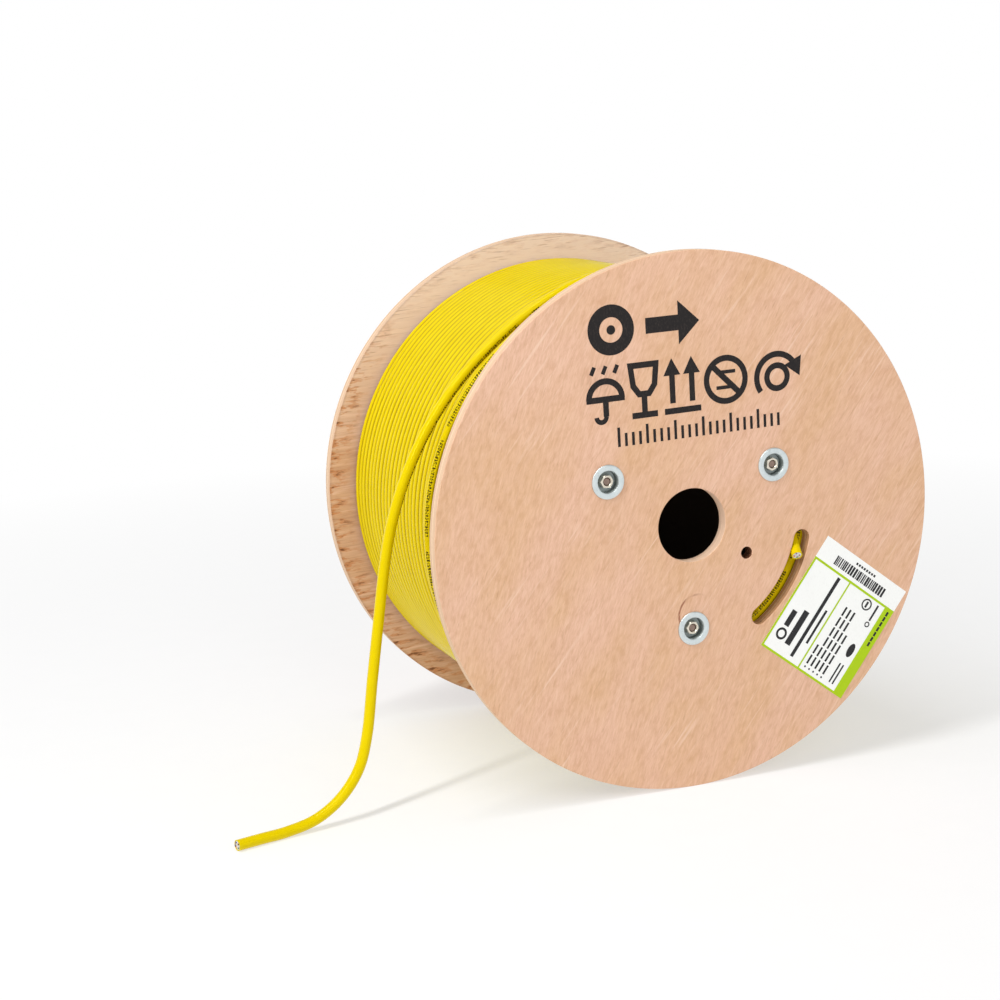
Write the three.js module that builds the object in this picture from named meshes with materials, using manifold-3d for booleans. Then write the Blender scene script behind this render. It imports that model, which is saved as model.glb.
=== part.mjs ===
// Plywood cable reel with its bulk network cable, in millimetres.
//
// The reel stands on the floor with its axis along Y. Pieces are drawn in a reel frame: x to the
// right, y up, z along the axis towards the front flange. The group at the end of the file turns
// that frame so that the front faces -Y and lifts the axis until the flanges stand on z = 0.

import * as THREE from 'three';
import { mergeVertices } from 'three/addons/utils/BufferGeometryUtils.js';
import Module from 'manifold-3d';

const wasm = await Module();
wasm.setup();

// Driving dimensions -------------------------------------------------------------------------

const GAP = 0.3; // clearance between pieces that rest on each other
const WIDTH = 232; // over both flanges
const FLANGE_RADIUS = 177.8; // 14 inch plywood disc
const FLANGE_SIDES = 128;
const FLANGE_THICKNESS = 9.5; // 3/8 inch plywood
const ARBOR_RADIUS = 24.4; // hole for the spindle of a pay-off stand
const DRUM_OUTER_RADIUS = 76.5;
const DRUM_INNER_RADIUS = 73.5;

const PIN_HOLE_RADIUS = 4;
const PIN_HOLE_AT = polar(45.9, -29.7);

const SLOT_RADIUS = 83.2; // centre line of the curved slot that lets the inner cable end out
const SLOT_WIDTH = 11.6;
const SLOT_START = -12; // degrees, centre of the upper round end
const SLOT_END = -53.6;

const BOLT_CIRCLE_RADIUS = 69;
const BOLT_ANGLES = [150, 30, -90];
const ROD_RADIUS = 2.5; // M5 threaded rod
const ROD_HOLE_RADIUS = 2.9;
const ROD_LENGTH = 229;

const CUP_RIM_RADIUS = 11.2;
const CUP_OUTER_RADIUS = 8.1;
const CUP_INNER_RADIUS = 7.1;
const CUP_DEPTH = 5.8; // from the flange face to the underside of the cup
const CUP_SHEET = 1; // thickness of the zinc-plated sheet
const CUP_RECESS_RADIUS = CUP_OUTER_RADIUS + 0.4;
const CUP_RECESS_DEPTH = CUP_DEPTH + GAP;

const NUT_ACROSS_FLATS = 8;
const NUT_THICKNESS = 4;

const CABLE_RADIUS = 3.55;
const WINDING_RADIUS = 160.2; // outside of the full layers
const TOP_LAYER_RADIUS = 164.4; // centre line of the two turns that lie on the full layers

const LABEL_LENGTH = 86;
const LABEL_HEIGHT = 77;
const LABEL_THICKNESS = 0.25;
const LABEL_AT = [106.7, -75.5];
const LABEL_TURN = 53.2; // degrees, reading direction of the label

// Derived dimensions
const HALF_WIDTH = WIDTH / 2;
const INSIDE = HALF_WIDTH - FLANGE_THICKNESS; // inner face of either flange
const AXIS_HEIGHT = FLANGE_RADIUS * Math.cos(Math.PI / FLANGE_SIDES);

// Helpers ------------------------------------------------------------------------------------

function polar(radius, degrees) {
  const angle = THREE.MathUtils.degToRad(degrees);
  return [radius * Math.cos(angle), radius * Math.sin(angle)];
}

function material(color, roughness, metalness = 0) {
  return new THREE.MeshStandardMaterial({ color, roughness, metalness });
}

const wood = material(0xe5b996, 0.75);
const fibreboard = material(0xb08a5e, 0.85);
const zinc = material(0xc8d2d4, 0.35, 0.9);
const jacket = material(0xe8cf05, 0.4);
const paper = material(0xf6f7f2, 0.6);

function mesh(name, geometry, surface) {
  const piece = new THREE.Mesh(geometry, surface);
  piece.name = name;
  return piece;
}

// A closed geometry as a manifold solid, with its shared vertices merged.
function solid(geometry) {
  const bare = geometry.clone();
  bare.deleteAttribute('normal');
  bare.deleteAttribute('uv');
  const merged = mergeVertices(bare, 1e-4);
  const vertProperties = new Float32Array(merged.attributes.position.array);
  const triVerts = new Uint32Array(merged.index.array);
  return new wasm.Manifold(new wasm.Mesh({ numProp: 3, vertProperties, triVerts }));
}

function geometryOf(manifold) {
  const { vertProperties, triVerts } = manifold.getMesh();
  const geometry = new THREE.BufferGeometry();
  geometry.setAttribute('position', new THREE.BufferAttribute(new Float32Array(vertProperties), 3));
  geometry.setIndex(new THREE.BufferAttribute(new Uint32Array(triVerts), 1));
  geometry.computeVertexNormals();
  return geometry;
}

// Regular polygon with a corner turned by half a side, so that one side faces straight down.
function polygon(radius, sides, centre = [0, 0], turn = Math.PI / sides) {
  const points = [];
  for (let i = 0; i < sides; i += 1) {
    const angle = turn + (2 * Math.PI * i) / sides - Math.PI / 2;
    const x = centre[0] + radius * Math.cos(angle);
    const y = centre[1] + radius * Math.sin(angle);
    points.push(new THREE.Vector2(x, y));
  }
  return points;
}

function extrude(shape, depth, z) {
  const geometry = new THREE.ExtrudeGeometry(shape, { depth, bevelEnabled: false });
  geometry.translate(0, 0, z);
  return geometry;
}

// Turned piece: a closed profile of [radius, z] points swept round the z axis.
function turned(profile, segments) {
  const points = profile.map(([radius, z]) => new THREE.Vector2(radius, z));
  points.push(points[0].clone());
  const geometry = new THREE.LatheGeometry(points, segments);
  geometry.rotateX(Math.PI / 2);
  return geometry;
}

// Round bar along a curve.
function bar(curve, steps, sides) {
  const shape = new THREE.Shape(polygon(CABLE_RADIUS, sides));
  return new THREE.ExtrudeGeometry(shape, { steps, extrudePath: curve, bevelEnabled: false });
}

// Flanges ------------------------------------------------------------------------------------

// The slot is a ring segment with round ends, concentric with the flange.
function slotOutline() {
  const half = SLOT_WIDTH / 2;
  const arcSteps = 10;
  const endSteps = 8;
  const points = [];
  for (let i = 0; i <= arcSteps; i += 1) {
    const angle = SLOT_START + ((SLOT_END - SLOT_START) * i) / arcSteps;
    points.push(polar(SLOT_RADIUS + half, angle));
  }
  const lower = polar(SLOT_RADIUS, SLOT_END);
  for (let i = 1; i < endSteps; i += 1) {
    const [x, y] = polar(half, SLOT_END - (180 * i) / endSteps);
    points.push([lower[0] + x, lower[1] + y]);
  }
  for (let i = 0; i <= arcSteps; i += 1) {
    const angle = SLOT_END + ((SLOT_START - SLOT_END) * i) / arcSteps;
    points.push(polar(SLOT_RADIUS - half, angle));
  }
  const upper = polar(SLOT_RADIUS, SLOT_START);
  for (let i = 1; i < endSteps; i += 1) {
    const [x, y] = polar(half, SLOT_START + 180 - (180 * i) / endSteps);
    points.push([upper[0] + x, upper[1] + y]);
  }
  return points.map(([x, y]) => new THREE.Vector2(x, y));
}

// side is 1 for the front flange and -1 for the rear one. Only the front flange has the slot.
function flange(side) {
  const shape = new THREE.Shape(polygon(FLANGE_RADIUS, FLANGE_SIDES));
  shape.holes.push(new THREE.Path(polygon(ARBOR_RADIUS, 48)));
  shape.holes.push(new THREE.Path(polygon(PIN_HOLE_RADIUS, 16, PIN_HOLE_AT)));
  for (const angle of BOLT_ANGLES) {
    shape.holes.push(new THREE.Path(polygon(ROD_HOLE_RADIUS, 16, polar(BOLT_CIRCLE_RADIUS, angle))));
  }
  if (side > 0) {
    shape.holes.push(new THREE.Path(slotOutline()));
  }
  const inner = side > 0 ? INSIDE : -HALF_WIDTH;
  let body = solid(extrude(shape, FLANGE_THICKNESS, inner));
  for (const angle of BOLT_ANGLES) {
    const centre = polar(BOLT_CIRCLE_RADIUS, angle);
    const recess = new THREE.Shape(polygon(CUP_RECESS_RADIUS, 24, centre));
    const floor = side > 0 ? HALF_WIDTH - CUP_RECESS_DEPTH : -HALF_WIDTH - 1;
    body = body.subtract(solid(extrude(recess, CUP_RECESS_DEPTH + 1, floor)));
  }
  return geometryOf(body);
}

// Drum ---------------------------------------------------------------------------------------

// Wound fibreboard tube, clamped between the flanges and centred by the rods just inside it.
function drumTube() {
  const end = INSIDE - GAP;
  const profile = [
    [DRUM_INNER_RADIUS, -end],
    [DRUM_OUTER_RADIUS, -end],
    [DRUM_OUTER_RADIUS, end],
    [DRUM_INNER_RADIUS, end],
  ];
  return turned(profile, 64);
}

// Tie rods, cup washers and nuts -------------------------------------------------------------

function tieRod() {
  const geometry = new THREE.CylinderGeometry(ROD_RADIUS, ROD_RADIUS, ROD_LENGTH, 16);
  geometry.rotateX(Math.PI / 2);
  return geometry;
}

// Dished washer, drawn with the flange face at z = 0 and its cup reaching down into the recess.
function cupWasher() {
  const rodClearance = ROD_RADIUS + GAP;
  const profile = [
    [rodClearance, -CUP_DEPTH],
    [CUP_OUTER_RADIUS, -CUP_DEPTH],
    [CUP_OUTER_RADIUS, GAP],
    [CUP_RIM_RADIUS, GAP],
    [CUP_RIM_RADIUS, GAP + 0.5],
    [CUP_RIM_RADIUS - 0.8, GAP + CUP_SHEET],
    [CUP_INNER_RADIUS + 1, GAP + CUP_SHEET],
    [CUP_INNER_RADIUS, GAP],
    [CUP_INNER_RADIUS, CUP_SHEET - CUP_DEPTH],
    [rodClearance, CUP_SHEET - CUP_DEPTH],
  ];
  return turned(profile, 24);
}

function hexNut() {
  const cornerRadius = NUT_ACROSS_FLATS / 2 / Math.cos(Math.PI / 6);
  const shape = new THREE.Shape(polygon(cornerRadius, 6));
  shape.holes.push(new THREE.Path(polygon(ROD_RADIUS + GAP, 16)));
  return extrude(shape, NUT_THICKNESS, CUP_SHEET - CUP_DEPTH + GAP);
}

// One rod with a washer and a nut in each flange.
function boltStation(number, angle) {
  const station = new THREE.Group();
  const front = new THREE.Group();
  const rear = new THREE.Group();
  front.position.z = HALF_WIDTH;
  rear.position.z = -HALF_WIDTH;
  rear.rotation.y = Math.PI;
  front.add(mesh(`front_cup_washer_${number}`, cupWasher(), zinc));
  front.add(mesh(`front_hex_nut_${number}`, hexNut(), zinc));
  rear.add(mesh(`rear_cup_washer_${number}`, cupWasher(), zinc));
  rear.add(mesh(`rear_hex_nut_${number}`, hexNut(), zinc));
  station.add(mesh(`tie_rod_${number}`, tieRod(), zinc), front, rear);
  const [x, y] = polar(BOLT_CIRCLE_RADIUS, angle);
  station.position.set(x, y, 0);
  return station;
}

// Cable --------------------------------------------------------------------------------------

// The full layers as one ring: it fills the space between the drum and the flanges.
function winding() {
  const end = INSIDE - GAP;
  const inner = DRUM_OUTER_RADIUS + 0.4;
  const profile = [
    [inner, -end],
    [WINDING_RADIUS, -end],
    [WINDING_RADIUS, end],
    [inner, end],
  ];
  return turned(profile, 96);
}

// The last two turns lie on the full layers and run from the front flange towards the free end.
// Each row is the angle round the reel in degrees and the distance in front of the middle.
const TOP_TURN_PLACES = [
  [-700, 102.2],
  [-611, 102.2],
  [-551, 86.2],
  [-360, 86.2],
  [-268, 88],
  [-187, 68.6],
  [-120, 68.6],
  [59.85, 62.5],
];

class TopTurns extends THREE.Curve {
  getPoint(t, target = new THREE.Vector3()) {
    const first = TOP_TURN_PLACES[0][0];
    const last = TOP_TURN_PLACES.at(-1)[0];
    const angle = first + (last - first) * t;
    let row = 1;
    while (row < TOP_TURN_PLACES.length - 1 && TOP_TURN_PLACES[row][0] < angle) {
      row += 1;
    }
    const [a0, z0] = TOP_TURN_PLACES[row - 1];
    const [a1, z1] = TOP_TURN_PLACES[row];
    const z = z0 + (z1 - z0) * THREE.MathUtils.smoothstep(angle, a0, a1);
    const [x, y] = polar(TOP_LAYER_RADIUS, angle);
    return target.set(x, y, z);
  }
}

// The free end lies over the top of the winding, bends down on the left and ends on the floor.
// Route in the standing frame: x, y, z in millimetres.
const TAIL_ROUTE = [
  [82.2, -62.5, 320.1],
  [56.2, -62, 332.2],
  [28.5, -61.5, 339.6],
  [0, -61, 342.1],
  [-28.5, -60.5, 339.6],
  [-56.2, -60.2, 332.2],
  [-82.2, -60, 320.1],
  [-108.8, -60, 302.3],
  [-135.6, -60.2, 278.3],
  [-158.3, -61, 250.3],
  [-176.1, -62.2, 218.9],
  [-187.6, -63.5, 188.9],
  [-194.2, -65, 161.6],
  [-200.6, -67, 125.5],
  [-207, -69.5, 89.4],
  [-213.3, -72.3, 53.3],
  [-220.4, -75, 33.7],
  [-233.8, -78, 17.7],
  [-251.9, -81.5, 7.3],
  [-272.4, -85.5, 3.7],
  [-290, -90, 3.7],
  [-307, -94.5, 3.7],
];

// The inner end of the cable comes out at the top of the slot and is cut off short.
// Each row is the angle round the reel and the distance in front of the middle.
const INNER_END_PLACES = [
  [-14, 110.2],
  [-15.5, 110.8],
  [-17.2, 112.6],
  [-18.8, 115.4],
  [-20.3, 118.8],
];
const INNER_END_RADIUS = 81.3;

function innerEnd() {
  const points = INNER_END_PLACES.map(([angle, z]) => {
    const [x, y] = polar(INNER_END_RADIUS, angle);
    return new THREE.Vector3(x, y, z);
  });
  return bar(new THREE.CatmullRomCurve3(points, false, 'centripetal'), 8, 10);
}

function tail() {
  const points = TAIL_ROUTE.map(([x, y, z]) => new THREE.Vector3(x, y, z));
  return bar(new THREE.CatmullRomCurve3(points, false, 'centripetal'), 44, 10);
}

// Label --------------------------------------------------------------------------------------

function label() {
  const geometry = new THREE.BoxGeometry(LABEL_LENGTH, LABEL_HEIGHT, LABEL_THICKNESS);
  geometry.rotateZ(THREE.MathUtils.degToRad(LABEL_TURN));
  geometry.translate(LABEL_AT[0], LABEL_AT[1], HALF_WIDTH + GAP + LABEL_THICKNESS / 2);
  return geometry;
}

// Assembly -----------------------------------------------------------------------------------

const reel = new THREE.Group();
reel.rotation.x = Math.PI / 2;
reel.position.z = AXIS_HEIGHT;
reel.add(mesh('front_flange', flange(1), wood));
reel.add(mesh('rear_flange', flange(-1), wood));
reel.add(mesh('drum_tube', drumTube(), fibreboard));
BOLT_ANGLES.forEach((angle, index) => reel.add(boltStation(index + 1, angle)));
reel.add(mesh('cable_winding', winding(), jacket));
reel.add(mesh('cable_top_turns', bar(new TopTurns(), 100, 8), jacket));
reel.add(mesh('cable_inner_end', innerEnd(), jacket));
reel.add(mesh('shipping_label', label(), paper));

const assembly = new THREE.Group();
assembly.add(reel);
assembly.add(mesh('cable_tail', tail(), jacket));

export default assembly;
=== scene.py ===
"""Plywood cable reel with its network cable, in metres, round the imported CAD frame.

+Z is up, the reel's axis is Y and its front faces -Y.
"""

import math

import bmesh
import bpy
import numpy as np
from mathutils import Matrix, Vector


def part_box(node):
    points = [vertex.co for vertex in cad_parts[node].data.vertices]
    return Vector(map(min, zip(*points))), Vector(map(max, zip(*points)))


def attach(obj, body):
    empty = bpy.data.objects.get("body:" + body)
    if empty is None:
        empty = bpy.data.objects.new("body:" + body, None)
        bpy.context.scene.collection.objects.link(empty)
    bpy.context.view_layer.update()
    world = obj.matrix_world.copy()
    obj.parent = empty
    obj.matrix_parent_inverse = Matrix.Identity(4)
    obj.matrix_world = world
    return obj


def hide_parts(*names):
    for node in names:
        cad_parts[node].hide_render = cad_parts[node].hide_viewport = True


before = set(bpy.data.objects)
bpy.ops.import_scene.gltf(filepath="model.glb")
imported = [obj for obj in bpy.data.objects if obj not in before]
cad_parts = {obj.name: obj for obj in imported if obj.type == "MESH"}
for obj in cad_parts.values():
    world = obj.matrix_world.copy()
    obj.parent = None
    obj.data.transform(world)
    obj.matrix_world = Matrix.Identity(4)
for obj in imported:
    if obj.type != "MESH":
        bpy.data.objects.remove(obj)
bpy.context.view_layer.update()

MM = 0.001
BODY = "root"

# Places and sizes, from the frame ------------------------------------

FRONT_LOW, FRONT_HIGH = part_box("front_flange")
REAR_LOW, REAR_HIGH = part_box("rear_flange")
FRONT_FACE = FRONT_LOW[1]
FRONT_INSIDE = FRONT_HIGH[1]
REAR_INSIDE = REAR_LOW[1]
REAR_FACE = REAR_HIGH[1]
FLANGE_RADIUS = (FRONT_HIGH[2] - FRONT_LOW[2]) / 2
AXIS_HEIGHT = (FRONT_HIGH[2] + FRONT_LOW[2]) / 2
AXIS = Vector((0, 0, AXIS_HEIGHT))

ARBOR_RADIUS = 24.4 * MM
PIN_HOLE_RADIUS = 4 * MM
PIN_HOLE = (45.9 * MM, -29.7)  # distance from the axis, and degrees round from +X
SLOT_RADIUS = 83.2 * MM
SLOT_WIDTH = 11.6 * MM
SLOT_ENDS = (-12, -53.6)
ROD_HOLE_RADIUS = 2.9 * MM
CUP_RECESS_RADIUS = 8.5 * MM
CUP_RECESS_DEPTH = 6.1 * MM
CABLE_RADIUS = 3.55 * MM
JACKET_WALL = 0.6 * MM
LAYER_RADIUS = 156.5 * MM  # centre line of the outer full layer
OUTER_TURNS = 28.75  # turns in that layer
TOP_RADIUS = 164.4 * MM  # centre line of the loose turns on it
EDGE = 0.6 * MM  # softening of the plywood's edges

# Route of the free end, as in the CAD model, in millimetres
TAIL_ROUTE = [
    (82.2, -62.5, 320.1), (56.2, -62, 332.2), (28.5, -61.5, 339.6),
    (0, -61, 342.1), (-28.5, -60.5, 339.6), (-56.2, -60.2, 332.2),
    (-82.2, -60, 320.1), (-108.8, -60, 302.3), (-135.6, -60.2, 278.3),
    (-158.3, -61, 250.3), (-176.1, -62.2, 218.9), (-187.6, -63.5, 188.9),
    (-194.2, -65, 161.6), (-200.6, -67, 125.5), (-207, -69.5, 89.4),
    (-213.3, -72.3, 53.3), (-220.4, -75, 33.7), (-233.8, -78, 17.7),
    (-251.9, -81.5, 7.3), (-272.4, -85.5, 3.7), (-290, -90, 3.7),
    (-307, -94.5, 3.7),
]

# Angle round the reel in degrees and distance in front of the middle in millimetres, for the two
# loose turns. They climb off the last full layer between the first two rows, and are as in the CAD
# model from there on.
TOP_TURNS = [
    (-800, 102.7), (-700, 102.2), (-611, 102.2),
    (-551, 86.2), (-360, 86.2), (-268, 88),
    (-187, 68.6), (-120, 68.6), (60, 62.5),
]
# The same for the inner end, which leaves the turn beside it behind the slot's top end
INNER_END = [
    (4, 101.6), (-2, 101.7), (-7.9, 102), (-12.5, 106.5),
    (-15.5, 110.5), (-18, 114.6), (-20.3, 118.8),
]
INNER_END_RADIUS = 81.3 * MM
# Angle, radius and distance in front of the middle for the two turns that show through the slot.
# The first dips away behind the slot's top end, under the cut end.
SLOT_TURN = [
    (-100, 80.3, 102.8), (-20, 80.3, 102.8), (-17, 80.3, 101), (-13, 80.3, 97.2),
    (-8, 80.3, 94.7), (-2, 80.3, 94.4), (40, 80.3, 94.4),
]
SLOT_NEIGHBOUR = [(-100, 87.2, 102.8), (-25, 87.2, 102.8), (-14, 88.3, 102.8), (40, 88.3, 102.8)]


# Camera and light ----------------------------------------------------

CAMERA_LENS = 69.66
CAMERA_PLACE = Vector((-564.2, -1212.7, 266.7)) * MM  # from the reel's middle
CAMERA_AIM = Vector((0.3584, 0.9126, -0.1966))
CAMERA_RIGHT = Vector((0.9281, -0.3710, -0.0301))


def placed(name, data):
    """A new object in the scene with that data."""
    obj = bpy.data.objects.new(name, data)
    bpy.context.collection.objects.link(obj)
    return obj


def make_camera():
    data = bpy.data.cameras.new("camera")
    data.lens = CAMERA_LENS
    data.sensor_width = 36
    data.clip_start = 0.05
    camera = placed("camera", data)
    back = -CAMERA_AIM.normalized()
    right = (CAMERA_RIGHT - back * CAMERA_RIGHT.dot(back)).normalized()
    turned = Matrix((right, back.cross(right), back)).transposed()
    camera.matrix_world = Matrix.Translation(AXIS + CAMERA_PLACE) @ turned.to_4x4()
    bpy.context.scene.camera = camera


def area_light(name, place, width, height, power):
    """A light turned towards the reel: a round one if it is as wide as it is high."""
    data = bpy.data.lights.new(name, "AREA")
    data.shape = "ELLIPSE" if width == height else "RECTANGLE"
    data.size = width
    data.size_y = height
    data.energy = power
    light = placed(name, data)
    light.location = place
    light.rotation_euler = (AXIS - Vector(place)).to_track_quat("-Z", "Y").to_euler()


def make_lights():
    """A big soft key light in front and a strip round the winding, in a tent darker overhead."""
    area_light("key_light", (-0.2, -2.4, 1.8), 1.2, 1.2, 10)
    area_light("strip_light", (-1.0, -0.5, 1.7), 0.12, 2.0, 28)
    world = bpy.data.worlds.new("studio")
    world.use_nodes = True
    nodes, links = world.node_tree.nodes, world.node_tree.links
    parts = nodes.new("ShaderNodeSeparateXYZ")
    links.new(nodes.new("ShaderNodeTexCoord").outputs["Generated"], parts.inputs[0])
    fade = nodes.new("ShaderNodeValToRGB")
    links.new(parts.outputs["Z"], fade.inputs[0])
    for element, position, level in zip(fade.color_ramp.elements, (0.12, 0.6), (1.0, 0.36)):
        element.position = position
        element.color = (level, level, level, 1)
    links.new(fade.outputs["Color"], nodes["Background"].inputs["Color"])
    bpy.context.scene.world = world
    bpy.context.scene.view_settings.view_transform = "Standard"


# Materials -----------------------------------------------------------


def linear(red, green, blue):
    """sRGB values from 0 to 255 as a linear colour with alpha."""
    def channel(value):
        value /= 255
        return value / 12.92 if value <= 0.04045 else ((value + 0.055) / 1.055) ** 2.4
    return (channel(red), channel(green), channel(blue), 1)


class Graph:
    """A material's nodes, and its colour so far. Sockets are linked, and anything else is set as a
    constant."""

    def __init__(self, name, rgb=None, **constants):
        self.material = bpy.data.materials.new(name)
        self.material.use_nodes = True
        self.nodes = self.material.node_tree.nodes
        self.links = self.material.node_tree.links
        self.shader = self.nodes["Principled BSDF"]
        self.colour = rgb and linear(*rgb)
        for socket, value in constants.items():
            self.shader.inputs[socket.replace("_", " ")].default_value = value

    def put(self, socket, value):
        if isinstance(value, bpy.types.NodeSocket):
            self.links.new(value, socket)
        else:
            socket.default_value = value

    def add(self, kind, inputs, **settings):
        node = self.nodes.new(kind)
        for key, value in settings.items():
            setattr(node, key, value)
        for key, value in inputs.items():
            self.put(node.inputs[key], value)
        return node

    def place(self):
        return self.add("ShaderNodeTexCoord", {}).outputs["Object"]

    def split(self, vector):
        return self.add("ShaderNodeSeparateXYZ", {"Vector": vector}).outputs

    def noise(self, vector, scale, detail=2.0, shift=(0, 0, 0), **settings):
        """Noise of that scale to the metre, one for each axis or one for all three."""
        scale = scale if isinstance(scale, tuple) else (scale, scale, scale)
        inputs = {"Vector": vector, "Scale": scale, "Location": shift}
        vector = self.add("ShaderNodeMapping", inputs).outputs["Vector"]
        inputs = {"Vector": vector, "Scale": 1.0, "Detail": detail, **settings}
        return self.add("ShaderNodeTexNoise", inputs).outputs["Fac"]

    def ramp(self, factor, *stops):
        node = self.add("ShaderNodeValToRGB", {"Fac": factor})
        elements = node.color_ramp.elements
        while len(elements) < len(stops):
            elements.new(0.5)
        for element, (position, colour) in zip(elements, stops):
            element.position = position
            element.color = colour if hasattr(colour, "__len__") else (colour, colour, colour, 1)
        return node.outputs["Color"]

    def paint(self, rgb, amount, *stops):
        """Mix rgb over the colour so far, by amount or by what the ramp of stops makes of it."""
        node = self.add("ShaderNodeMix", {}, data_type="RGBA")
        self.put(node.inputs[0], self.ramp(amount, *stops) if stops else amount)
        self.put(node.inputs[6], self.colour)
        self.put(node.inputs[7], linear(*rgb))
        self.colour = node.outputs[2]

    def math(self, operation, a, b=0.0, c=0.0):
        return self.add("ShaderNodeMath", {0: a, 1: b, 2: c}, operation=operation).outputs[0]

    def times(self, a, b):
        return self.math("MULTIPLY", a, b)

    def minus(self, a, b):
        return self.math("SUBTRACT", a, b)

    def over(self, a, b):
        return self.math("DIVIDE", a, b)

    def finish(self, height, depth, strength=1.0, roughness=None):
        """The material, with the colour so far and with bumps from height, scaled by depth."""
        inputs = {"Height": height, "Distance": depth, "Strength": strength}
        self.put(self.shader.inputs["Normal"], self.add("ShaderNodeBump", inputs).outputs["Normal"])
        self.put(self.shader.inputs["Base Color"], self.colour)
        if roughness is not None:
            self.put(self.shader.inputs["Roughness"], roughness)
        return self.material


def grain_place(g, lean, spread, seed, level=False):
    """Object place with X across the grain and Z along it. The grain leans from upright, or from
    level, by the slope lean, and by spread more for each metre across."""
    parts = g.split(g.place())
    rise = g.minus(parts["Z"], AXIS_HEIGHT)
    along, across = (parts["X"], rise) if level else (rise, parts["X"])
    slope = g.math("MULTIPLY_ADD", across, spread, lean)
    across = g.minus(across, g.times(along, slope))
    inputs = {"X": g.math("ADD", across, seed), "Y": parts["Y"], "Z": along}
    return g.add("ShaderNodeCombineXYZ", inputs).outputs[0]


def distance_from(g, x, rise):
    """Distance from the line along Y that is x and rise off the reel's axis."""
    parts = g.split(g.place())
    across = g.minus(parts["X"], x)
    up = g.minus(parts["Z"], AXIS_HEIGHT + rise)
    return g.math("SQRT", g.math("MULTIPLY_ADD", across, across, g.times(up, up)))


def scuff(g):
    """Pale scuffs and dark scored lines in rubbed patches, all slanting the same way."""
    slanted = g.add("ShaderNodeMapping", {"Vector": g.place(), "Rotation": (0, -0.68, 0)})
    lines = g.noise(slanted.outputs["Vector"], (380, 380, 14))
    rubbed = g.ramp(g.noise(g.place(), 14, shift=(3, 0, 1)), (0.42, 0.0), (0.6, 1.0))
    g.paint((240, 208, 184), g.times(g.ramp(lines, (0.6, 0.0), (0.7, 0.55)), rubbed))
    g.paint((190, 142, 106), g.times(g.ramp(lines, (0.28, 0.4), (0.36, 0.0)), rubbed))


def ring_scar(g, mottle):
    """Left part of a ring bitten into the face round the lowest washer."""
    off_ring = g.minus(distance_from(g, 3 * MM, -60 * MM), 13.4 * MM)
    off_ring = g.over(g.math("ABSOLUTE", off_ring), MM)
    left = g.math("MULTIPLY_ADD", g.split(g.place())["X"], 37, 0.39)
    left = g.ramp(left, (0.1, 0.9), (0.75, 0.0))
    bitten = g.times(g.ramp(mottle, (0.38, 0.2), (0.55, 1.0)), left)
    g.paint((150, 92, 66), g.times(g.ramp(off_ring, (0.3, 1.0), (1.0, 0.0)), bitten))


def veneer(name, lean, spread, seed, marked=False):
    """Rotary-cut face veneer: soft pink and buff patches under short fine streaks and flecks."""
    g = Graph(name, (221, 177, 138), Roughness=0.62, Specular_IOR_Level=0.3)
    flat = grain_place(g, lean, spread, seed)
    patches = g.noise(flat, (26, 26, 13), 3)
    figure = g.noise(flat, (95, 95, 30), Distortion=0.5)
    mottle = g.noise(flat, (240, 240, 130), 3, Roughness=0.65)
    streaks = g.noise(flat, (560, 560, 85), 3, Roughness=0.6)
    fibres = g.noise(flat, (1500, 1500, 210))
    flecks = g.noise(flat, (800, 800, 120), 1, shift=(7, 0, 3))
    g.paint((230, 186, 160), patches, (0.38, 0.0), (0.62, 1.0))
    g.paint((208, 162, 126), figure, (0.35, 0.25), (0.6, 0.0))
    g.paint((236, 197, 168), mottle, (0.3, 0.0), (0.7, 0.42))
    g.paint((202, 155, 120), mottle, (0.34, 0.28), (0.5, 0.0))
    g.paint((199, 151, 115), streaks, (0.34, 0.26), (0.52, 0.0))
    g.paint((240, 203, 176), streaks, (0.54, 0.0), (0.7, 0.28))
    g.paint((196, 148, 112), fibres, (0.35, 0.26), (0.6, 0.0))
    g.paint((170, 118, 84), flecks, (0.7, 0.0), (0.76, 0.3))
    if marked:
        scuff(g)
        ring_scar(g, mottle)
        smudge = g.ramp(distance_from(g, -61 * MM, 98 * MM), (0.0, 0.3), (0.02, 0.0))
        g.paint((140, 100, 82), g.times(smudge, g.ramp(streaks, (0.4, 1.0), (0.6, 0.0))))
    return g.finish(g.math("MULTIPLY_ADD", streaks, 0.6, fibres), 0.08 * MM, 0.4)


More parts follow.
